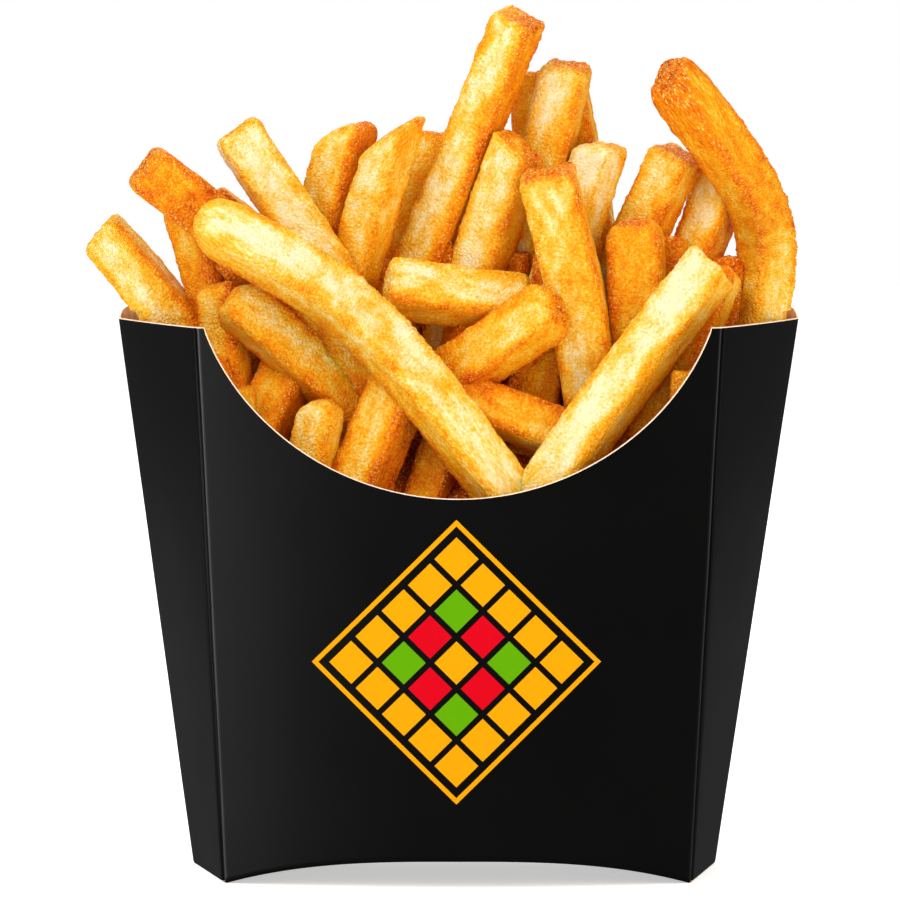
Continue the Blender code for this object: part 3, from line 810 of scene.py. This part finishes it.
def fry_surface(fry, seed, step):
    """One fry's points, faces, how browned each point is with painted shade added in, crust (1 at its
    edges and ends) and places along itself.
    """
    draw = np.random.RandomState(seed)
    shift = draw.uniform(0, 1, 3)
    power = draw.uniform(*SECTION_POWER)
    trial = centre_line(fry, np.linspace(0, 1, LENGTH_STEPS))
    length = np.linalg.norm(np.diff(trial, axis=0), axis=1).sum()
    wide, thick = fry.size[0] * MM, fry.size[1] * MM
    foot_round = (1 - CUT_END) * wide * END_ROUNDING
    tip_round = (1 - fry.tip_end) * wide * END_ROUNDING
    place, drawn, over, tilt = fry_rings(length, foot_round, tip_round, step)
    shares = place / length
    middle, along, right, near = [way[:, None, :] for way in fry_frame(fry, shares)]

    rings = len(place)
    around = 4 * round(FRY_AROUND * FRY_STEP / step / 4)
    angle = (np.arange(around) + 0.5) * 2 * math.pi / around
    angle = angle + CLOSER_AT_EDGES * np.sin(4 * angle) / 4
    size = between(1.0, fry.taper, shares)
    half_wide, half_thick = (wide / 2 * size)[:, None], (thick / 2 * size)[:, None]
    halves = [(half - drawn[:, None]) * (1 - over[:, None]) for half in (half_wide, half_thick)]
    a, b, out_a, out_b = rounded_square(*np.maximum(halves, SMALLEST), power, angle)

    # Turned to the fry's roll, and laid along its centre line.
    across, towards = turned(a, b, fry.roll)
    out_right, out_near = turned(out_a, out_b, fry.roll)
    skew = fry.slant * across - fry.cut * (towards + half_thick / 2)
    skew = skew * np.clip(shares * 2 - 1, 0, None)[:, None]
    points = middle + right * across[..., None] + near * towards[..., None] + along * skew[..., None]
    outward = (right * out_right[..., None] + near * out_near[..., None]) * np.cos(tilt)[:, None, None]
    outward = unit(outward + along * np.sin(tilt)[:, None, None])

    def for_ring(values):
        """Each ring's value, given to all the points of that ring."""
        return np.repeat(values, around)

    # How near each point is to one of the long edges, and to either end.
    spots = (np.stack(np.broadcast_arrays(a, b, place[:, None]), axis=-1) + shift).reshape(-1, 3)
    uneven = pattern(spots, BANDS)
    to_edge = np.maximum(half_wide - np.abs(a), half_thick - np.abs(b)).ravel()
    edge = eased(1 - to_edge / (EDGE_BAND * (1 + EDGE_VARIES * uneven)))
    end_band = END_BAND * (1 + END_VARIES * uneven)
    end = np.maximum(eased(1 - for_ring(length - place) / end_band), eased(1 - for_ring(place) / end_band))
    cut_face = for_ring(eased(np.abs(tilt) / (math.pi / 4) - 1))
    crust = np.maximum(edge, end)

    swell = pattern(spots, SWELLS) * SWELL
    lumps = pattern(spots, LUMPS) * LUMP * between(*LUMP_SHARES, crust)
    blisters = (np.abs(pattern(spots, BLISTERS)) - BLISTER_LEVEL) * BLISTER
    blisters = blisters * between(*BLISTER_SHARES, crust)
    beads = pattern(spots, BEADS) * BEAD * between(*BEAD_SHARES, crust)
    dished = DISH * (1 - eased(1 - to_edge / DISH_BAND)) * for_ring(1 - over)
    lift = swell + lumps + blisters + beads - dished
    moved = kept_inside(points.reshape(-1, 3) + outward.reshape(-1, 3) * lift[:, None])

    # Painted shade: the side turned away from the lamps, by the fry's dark amount and direction, is made
    # browner.
    shaded = np.clip(np.cos(angle + math.radians(fry.roll - fry.dark[1])), 0, 1)
    shaded = np.tile(shaded * fry.dark[0] * SHADED_SIDE, rings)
    tanned = np.clip(1 - to_edge / (TAN_BAND * (1 + TAN_VARIES * uneven)), 0, 1) ** TAN_POWER
    paler = fry.paler_foot * for_ring(eased(1 - shares * PALER_FOOT_PART))
    ends = np.maximum(END_BROWN * end, CUT_FACE_BROWN * cut_face) * fry.brown
    # Painted shade: the crust is made browner where other fries lie close about it.
    browning_and_shade = fry.tone - ALL_PALER - paler + shaded + TUCKED_PAINTED_SHADE * tucked_in(moved, fry)
    browning_and_shade = browning_and_shade + PATCH_BROWN * pattern(spots, PATCHES) + MOTTLE_BROWN * pattern(spots, MOTTLES)
    browning_and_shade = browning_and_shade + np.maximum(TAN_BROWN * tanned, ends)
    browning_and_shade = np.minimum(browning_and_shade, MOST_BROWN + BEYOND_MOST * (browning_and_shade - MOST_BROWN))

    # Quads between the rings, and a fan to one point over each end.
    index = np.arange(rings * around).reshape(rings, around)
    after = np.roll(index, -1, axis=1)
    faces = np.stack([index[:-1], after[:-1], after[1:], index[1:]], axis=-1).reshape(-1, 4).tolist()
    foot_point, tip_point = rings * around, rings * around + 1
    faces += [(after[0, k], index[0, k], foot_point) for k in range(around)]
    faces += [(index[-1, k], after[-1, k], tip_point) for k in range(around)]

    def closed(values):
        """The values with one more for each end: the mean of the last ring's."""
        grid = values.reshape(rings, around, -1)
        means = [grid[0].mean(axis=0), grid[-1].mean(axis=0)]
        both = np.concatenate([values.reshape(rings * around, -1), means])
        return both.reshape((-1, *values.shape[1:]))

    return closed(moved), faces, closed(browning_and_shade), closed(crust), closed(spots)


# The crust's colours from pale to browned, and its patterns: streaks, a grain and pebbles of crust.
CRUST_COLOURS = (
    (0.00, "#fbeec4"),
    (0.16, "#f9dc8a"),
    (0.34, "#f7c136"),
    (0.52, "#f2a70a"),
    (0.68, "#ee8d04"),
    (0.84, "#e27806"),
    (0.95, "#cf6406"),
    (1.00, "#b64a06"),
)
# The colour of the painted glints on pebble tops.
GLINT_PAINT_COLOUR = "#ffdf86"
STREAK = 2.0 * MM
STREAK_BROWN = 0.82
STREAK_SCALE_ALONG = 0.4
GRAIN = 0.7 * MM
GRAIN_SHARES = (0.65, 1.00)
PEBBLE = 0.54 * MM
PEBBLE_BROWN = 0.26
PEBBLE_LEVEL = 0.40
PEBBLE_WANDER = 0.45 * MM
WANDER_CELL = 0.9 * MM
# Which pebble tops get painted glints, and how many more of them near the crust.
GLINT_TOP_SPAN = (0.42, 0.22)
GLINT_CHOICE = (0.34, 0.44)
GLINT_SHARES = (0.22, 0.92)
CRUST_RELIEF = 0.42 * MM
CRUST_ROUGH = (0.40, 0.62)
CRUST_SHEEN = 0.10
GLOW_SHARE = 0.45
GLOW_RADIUS = (1.0, 0.34, 0.05)
GLOW_DEPTH = 2.4 * MM


def fried_crust():
    """Deep-fried potato: translucent and buttery where pale, opaque, rough and amber where browned.

    The mesh says how browned each place is, with painted shade added in. Streaks, grain, pin-head blisters
    and pale dots painted as glints come on top of that.
    """
    material, tree, shader = new_material("fried_potato_crust")
    browning_and_shade = add_node(tree, "ShaderNodeAttribute", {"attribute_name": "browning_and_shade"}).outputs["Fac"]
    crust = add_node(tree, "ShaderNodeAttribute", {"attribute_name": "crust"}).outputs["Fac"]
    place = add_node(tree, "ShaderNodeAttribute", {"attribute_name": "along_fry"}).outputs["Vector"]
    slowed = {"Scale": (1.0, 1.0, STREAK_SCALE_ALONG)}
    drawn = add_node(tree, "ShaderNodeMapping", slowed, vector=place).outputs["Vector"]

    def sum_of(value, weight, add, centre=0.5):
        """Adds a weighted pattern, level about its centre, to a value."""
        level = add_node(tree, "ShaderNodeMath", {"operation": "SUBTRACT"})
        level.inputs[1].default_value = centre
        tree.links.new(value, level.inputs[0])
        total = add_node(tree, "ShaderNodeMath", {"operation": "MULTIPLY_ADD"})
        total.inputs[1].default_value = weight
        tree.links.new(level.outputs["Value"], total.inputs[0])
        if isinstance(add, float):
            total.inputs[2].default_value = add
        else:
            tree.links.new(add, total.inputs[2])
        return total.outputs["Value"]

    def product_of(first, second):
        """Two values multiplied."""
        times = add_node(tree, "ShaderNodeMath", {"operation": "MULTIPLY"})
        tree.links.new(first, times.inputs[0])
        tree.links.new(second, times.inputs[1])
        return times.outputs["Value"]

    def ranged(value, span, key="To"):
        """A value brought to a span, or with From as the key, the span brought to 0 and 1."""
        limits = {f"{key} Min": span[0], f"{key} Max": span[1]}
        return add_node(tree, "ShaderNodeMapRange", limits, value=value).outputs["Result"]

    # Streaks where the oil was hotter, drawn out along the fry, and a fine grain.
    streaks = add_node(tree, "ShaderNodeTexNoise", {"Scale": 1 / STREAK, "Detail": 5.0, "Roughness": 0.65},
                       vector=drawn).outputs["Fac"]
    grain = add_node(tree, "ShaderNodeTexNoise", {"Scale": 1 / GRAIN, "Detail": 3.0, "Roughness": 0.6},
                     vector=place).outputs["Fac"]

    # Pebbles of crust, whose outlines wander.
    bent = add_node(tree, "ShaderNodeTexNoise", {"Scale": 1 / WANDER_CELL, "Detail": 1.0}, vector=place)
    wander = add_node(tree, "ShaderNodeVectorMath", {"operation": "MULTIPLY_ADD"})
    tree.links.new(bent.outputs["Color"], wander.inputs[0])
    wander.inputs[1].default_value = (PEBBLE_WANDER,) * 3
    tree.links.new(place, wander.inputs[2])
    pebble = add_node(tree, "ShaderNodeTexVoronoi", {"Scale": 1 / PEBBLE}, vector=wander.outputs["Vector"])
    amount = sum_of(streaks, STREAK_BROWN, browning_and_shade)
    amount = sum_of(product_of(sum_of(grain, 1.0, 0.0), ranged(crust, GRAIN_SHARES)), 1.0, amount, 0.0)
    amount = sum_of(pebble.outputs["Distance"], PEBBLE_BROWN, amount, PEBBLE_LEVEL)
    colour = add_node(tree, "ShaderNodeValToRGB", fac=amount)
    ramp = colour.color_ramp
    while len(ramp.elements) < len(CRUST_COLOURS):
        ramp.elements.new(0.5)
    for element, (position, code) in zip(ramp.elements, CRUST_COLOURS):
        element.position = position
        element.color = srgb(code)

    # Pale dots painted on some pebble tops as glints, most of them near the edges.
    chosen = add_node(tree, "ShaderNodeSeparateColor", color=pebble.outputs["Color"]).outputs["Red"]
    tops = product_of(ranged(pebble.outputs["Distance"], GLINT_TOP_SPAN, "From"),
                      ranged(chosen, GLINT_CHOICE, "From"))
    glint_mask = product_of(tops, ranged(crust, GLINT_SHARES))
    glinted = add_node(tree, "ShaderNodeMix", {"data_type": "RGBA"})
    tree.links.new(glint_mask, glinted.inputs["Factor"])
    tree.links.new(colour.outputs["Color"], glinted.inputs[6])
    glinted.inputs[7].default_value = srgb(GLINT_PAINT_COLOUR)
    tree.links.new(glinted.outputs[2], shader.inputs["Base Color"])

    # The same patterns in relief, about a fifth of a millimetre deep.
    relief = sum_of(grain, 0.8, 0.0)
    relief = sum_of(pebble.outputs["Distance"], -0.8, relief, PEBBLE_LEVEL)
    relief = sum_of(glint_mask, 0.4, relief, 0.0)
    bump = add_node(tree, "ShaderNodeBump", {"Strength": 1.0, "Distance": CRUST_RELIEF}, height=relief)
    tree.links.new(bump.outputs["Normal"], shader.inputs["Normal"])
    tree.links.new(ranged(streaks, CRUST_ROUGH), shader.inputs["Roughness"])
    shader.inputs["Subsurface Weight"].default_value = GLOW_SHARE
    shader.inputs["Subsurface Radius"].default_value = GLOW_RADIUS
    shader.inputs["Subsurface Scale"].default_value = GLOW_DEPTH
    shader.inputs["Specular IOR Level"].default_value = CRUST_SHEEN
    return material


potato = fried_crust()


def add_heap_piece(name, points, faces, browning_and_shade, crust, places):
    """A piece of the heap, with the attributes that its crust is coloured by, put on the carton."""
    made = add_piece(name, points, faces, [potato])
    for key, values in (("browning_and_shade", browning_and_shade), ("crust", crust)):
        layer = made.data.attributes.new(key, "FLOAT", "POINT")
        layer.data.foreach_set("value", values)
    layer = made.data.attributes.new("along_fry", "FLOAT_VECTOR", "POINT")
    layer.data.foreach_set("vector", places.ravel())
    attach(made, "root")
    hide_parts("fries")


def add_fries(name, fries, step, first_seed):
    """All the fries of one kind as one mesh."""
    points, faces, browning_and_shade, crust, places = [], [], [], [], []
    for number, fry in enumerate(fries):
        start = sum(len(part) for part in points)
        surface = fry_surface(fry, first_seed + number, step)
        points.append(surface[0])
        faces += [tuple(int(corner) + start for corner in face) for face in surface[1]]
        browning_and_shade.append(surface[2])
        crust.append(surface[3])
        places.append(surface[4])
    layers = [np.concatenate(parts) for parts in (browning_and_shade, crust, places)]
    add_heap_piece(name, np.concatenate(points), faces, *layers)


for number, kind in enumerate(("pale", "light_golden", "golden", "browned"), start=1):
    add_fries(f"{kind}_fries", [fry for fry in FRIES if fry.kind == kind], FRY_STEP, SEEDS_APART * number)


# Behind and under them lie more fries, which only show between the first, and under those the heap is
# filled by one plain core. They are shaded by the rest, and the back rows' darker tones and the core's
# darkest crust add painted shade, so the gaps look deep orange.
HIDDEN_SEED = 7
HIDDEN_SIZE = (9.4, 8.8)
HIDDEN_FRY_STEP = 0.9 * MM
HIDDEN_FIRST_SEED = 900
HIDDEN_SCATTER = 4.0
HIDDEN_ROLL = 35.0

# Rows behind, in mm: how deep the tips are, how deep the feet are, and how high the tips reach.
BACK_ROWS = ((6.0, 10.0, 116.0), (14.0, 16.0, 126.0))
BACK_STEP = 13.0
BACK_REACH = 40.0
BACK_LENGTH = 42.0
# The back rows are browner than most front fries, partly as painted shade in the gaps.
BACK_TONES = (0.50, 0.74)
BACK_BROWN = 0.5

# Rows below the scoop, in mm: how deep, from how near to how far to each side, and how far under it.
SCOOP_ROWS = ((-9.0, 2.0, 50.0, 4.5), (-1.0, 2.0, 56.0, 3.5), (9.0, 50.0, 62.0, 7.0))
SCOOP_ROW_STEP = 11.0
SCOOP_ROW_LENGTH = 34.0
SCOOP_ROW_TONES = (0.40, 0.75)
SCOOP_ROW_BROWN = 0.6
SCOOP_ROW_CLOSER = 0.9

CORE_GAP = 1.5 * MM
CORE_FRONT_TOP = 64.0 * MM
CORE_BACK_TOP = 104.0 * MM
CORE_STEPS = (48, 20, 24)
CORE_CELL = 8.0 * MM
CORE_LUMP = 1.2 * MM
CORE_SEED = 31
# The core takes the crust's darkest colour all over: a dark sheet of painted shade under the fries.
CORE_PAINTED_SHADE_TONE = 1.0

hidden = []
scatter = random.Random(HIDDEN_SEED)
tones = np.random.RandomState(HIDDEN_SEED)
for row, (depth, foot_depth, top) in enumerate(BACK_ROWS):
    for k in range(int(2 * BACK_REACH / BACK_STEP) + 1):
        across = -BACK_REACH + k * BACK_STEP + scatter.uniform(-1, 1) * HIDDEN_SCATTER
        fall = HIDDEN_SCATTER * (across / BACK_REACH) ** 2
        lean = scatter.uniform(-2, 2) * HIDDEN_SCATTER
        tip = (across + lean, top - fall + scatter.uniform(-1, 1) * HIDDEN_SCATTER, depth)
        foot = (across - lean, tip[1] - BACK_LENGTH, foot_depth)
        roll = scatter.uniform(-HIDDEN_ROLL, HIDDEN_ROLL)
        tone = tones.uniform(*BACK_TONES)
        hidden.append(Fry(f"hidden_{row}_{k}", "hidden", tone, BACK_BROWN, tip, foot, HIDDEN_SIZE, roll))
for row, (depth, nearest, furthest, under) in enumerate(SCOOP_ROWS):
    for k, reach in enumerate(np.arange(nearest, furthest, SCOOP_ROW_STEP)):
        for side in (-1, 1):
            across = side * (reach + scatter.uniform(0, 1) * HIDDEN_SCATTER)
            top = scoop_height(across * MM) / MM - under - scatter.uniform(0, 1) * HIDDEN_SCATTER
            lean = scatter.uniform(-1, 1) * HIDDEN_SCATTER
            tip = (across + lean, top, depth)
            foot = (across * SCOOP_ROW_CLOSER - lean, top - SCOOP_ROW_LENGTH, depth + lean / 2)
            roll = scatter.uniform(-HIDDEN_ROLL, HIDDEN_ROLL)
            tone = tones.uniform(*SCOOP_ROW_TONES)
            hidden.append(Fry(f"fill_{row}_{k}_{side}", "hidden", tone, SCOOP_ROW_BROWN, tip, foot,
                              HIDDEN_SIZE, roll))
add_fries("hidden_fries", hidden, HIDDEN_FRY_STEP, HIDDEN_FIRST_SEED)


def core_side(at, m, n, points, faces):
    """Adds one side of the core as an m by n grid: at gives u, v and height share for two shares."""
    start = len(points)
    for j in range(n + 1):
        for i in range(m + 1):
            u, v, up = at(2 * i / m - 1, 2 * j / n - 1)
            low = floor_height(np.float64(u)) + BOARD + CORE_GAP
            top = between(CORE_FRONT_TOP, CORE_BACK_TOP, (v + 1) / 2)
            points.append(carton_points(u, v, between(low, top, (up + 1) / 2), BOARD + CORE_GAP))
    for j in range(n):
        for i in range(m):
            here = start + j * (m + 1) + i
            faces.append((here, here + 1, here + m + 2, here + m + 1))


core_points, core_faces = [], []
wide_steps, deep_steps, high_steps = CORE_STEPS
core_side(lambda s, t: (s, t, 1.0), wide_steps, deep_steps, core_points, core_faces)
core_side(lambda s, t: (s, -t, -1.0), wide_steps, deep_steps, core_points, core_faces)
core_side(lambda s, t: (s, -1.0, t), wide_steps, high_steps, core_points, core_faces)
core_side(lambda s, t: (-s, 1.0, t), wide_steps, high_steps, core_points, core_faces)
core_side(lambda s, t: (1.0, s, t), deep_steps, high_steps, core_points, core_faces)
core_side(lambda s, t: (-1.0, -s, t), deep_steps, high_steps, core_points, core_faces)
core_at = np.array(core_points)
core_middle = np.array([0, 0, (CORE_FRONT_TOP + CORE_BACK_TOP) / 4])
hollows = np.abs(soft_noise(core_at, CORE_CELL, CORE_SEED)) * CORE_LUMP
core_at = core_at + unit(core_middle - core_at) * hollows[:, None]
even = np.ones(len(core_at))
# Painted shade: the core is browned to the end of the crust's colours everywhere.
add_heap_piece("heap_core", core_at, core_faces, even * CORE_PAINTED_SHADE_TONE, even, core_at)


# The set: a plain pale floor that fades into a white surround, large soft lights from the left, the right
# and behind, low lights that only give sheen, and a camera a little above the rim.
CAMERA_PLACE = (-1.26, -750.0, 148.3)
CAMERA_PITCH = 0.083
CAMERA_LENS = 150.0
CAMERA_SENSOR = 36.0
FLOOR_SIZE = 6.0
PAPER_GLOW = 0.5
HORIZON_LEVEL = 0.09
ZENITH_LEVEL = 1.05

floor_mesh = bpy.data.meshes.new("floor")
half = FLOOR_SIZE / 2
floor_corners = [(-half, -half, 0), (half, -half, 0), (half, half, 0), (-half, half, 0)]
floor_mesh.from_pydata(floor_corners, [], [(0, 1, 2, 3)])
floor = bpy.data.objects.new("floor", floor_mesh)
bpy.context.scene.collection.objects.link(floor)
paper, paper_tree, paper_shader = new_material("white_paper")
sheet = add_node(paper_tree, "ShaderNodeTexNoise", {"Scale": 3.0, "Detail": 2.0})
shade = add_node(paper_tree, "ShaderNodeValToRGB", fac=sheet.outputs["Fac"])
shade.color_ramp.elements[0].color = srgb("#f6f6f5")
shade.color_ramp.elements[1].color = srgb("#fafafa")
paper_tree.links.new(shade.outputs["Color"], paper_shader.inputs["Base Color"])
paper_shader.inputs["Roughness"].default_value = 0.9
paper_shader.inputs["Emission Color"].default_value = (1.0, 1.0, 1.0, 1.0)
paper_shader.inputs["Emission Strength"].default_value = PAPER_GLOW
floor_mesh.materials.append(paper)
floor.visible_glossy = False

# The surround is white all over to the camera. To everything else it is dark low down and bright above.

world = bpy.data.worlds.new("surround")
world.use_nodes = True
bpy.context.scene.world = world
background = world.node_tree.nodes["Background"]
way = add_node(world.node_tree, "ShaderNodeTexCoord").outputs["Generated"]
up = add_node(world.node_tree, "ShaderNodeSeparateXYZ", vector=way).outputs["Z"]
levels = {"To Min": HORIZON_LEVEL, "To Max": ZENITH_LEVEL}
sky = add_node(world.node_tree, "ShaderNodeMapRange", levels, value=up)
seen = add_node(world.node_tree, "ShaderNodeLightPath").outputs["Is Camera Ray"]
level = add_node(world.node_tree, "ShaderNodeMath", {"operation": "MAXIMUM"})
world.node_tree.links.new(sky.outputs["Result"], level.inputs[0])
world.node_tree.links.new(seen, level.inputs[1])
world.node_tree.links.new(level.outputs["Value"], background.inputs["Strength"])
background.inputs["Color"].default_value = (1.0, 1.0, 1.0, 1.0)


def add_light(name, place, target, size, power, colour="#ffffff"):
    """A square soft light at a place, turned to its target."""
    lamp = bpy.data.lights.new(name, "AREA")
    lamp.size = size
    lamp.energy = power
    lamp.color = srgb(colour)[:3]
    made = bpy.data.objects.new(name, lamp)
    made.location = place
    way = np.array(target) - np.array(place)
    made.rotation_euler = (math.atan2(math.hypot(way[0], way[1]), -way[2]), 0,
                           math.atan2(way[1], way[0]) - math.pi / 2)
    bpy.context.scene.collection.objects.link(made)
    return made


add_light("key", (-0.75, -0.65, 0.95), (0, 0, 0.1), 0.7, 9.0)
fill = add_light("fill", (0.8, -0.9, 0.5), (0, 0, 0.1), 0.8, 6.0, "#ffdcae")
fill.visible_glossy = False
add_light("back", (0.2, 0.9, 0.9), (0, 0, 0.1), 0.7, 4.0)

# Each low light has a name, a place, a size and a power.
LOW_LIGHTS = (
    ("sheen", (-0.62, -0.55, 0.0), 0.5, 4.2),
    ("left_kicker", (-0.26, 0.20, -0.05), 0.16, 0.020),
    ("right_kicker", (0.26, 0.20, -0.05), 0.16, 0.013),
    ("right_sheen", (0.95, -0.35, 0.05), 0.4, 1.6),
    ("back_sheen", (0.0, 0.85, 0.0), 0.4, 2.4),
)
for name, place, size, power in LOW_LIGHTS:
    glow = add_light(name, place, (0, 0, 0.05), size, power)
    glow.visible_diffuse = False
    glow.visible_camera = False

camera_data = bpy.data.cameras.new("camera")
camera_data.lens = CAMERA_LENS
camera_data.sensor_width = CAMERA_SENSOR
camera = bpy.data.objects.new("camera", camera_data)
camera.location = np.array(CAMERA_PLACE) * MM + STAND
camera.rotation_euler = (math.pi / 2 - CAMERA_PITCH, 0, 0)
bpy.context.scene.collection.objects.link(camera)
bpy.context.scene.camera = camera
bpy.context.scene.view_settings.view_transform = "Standard"
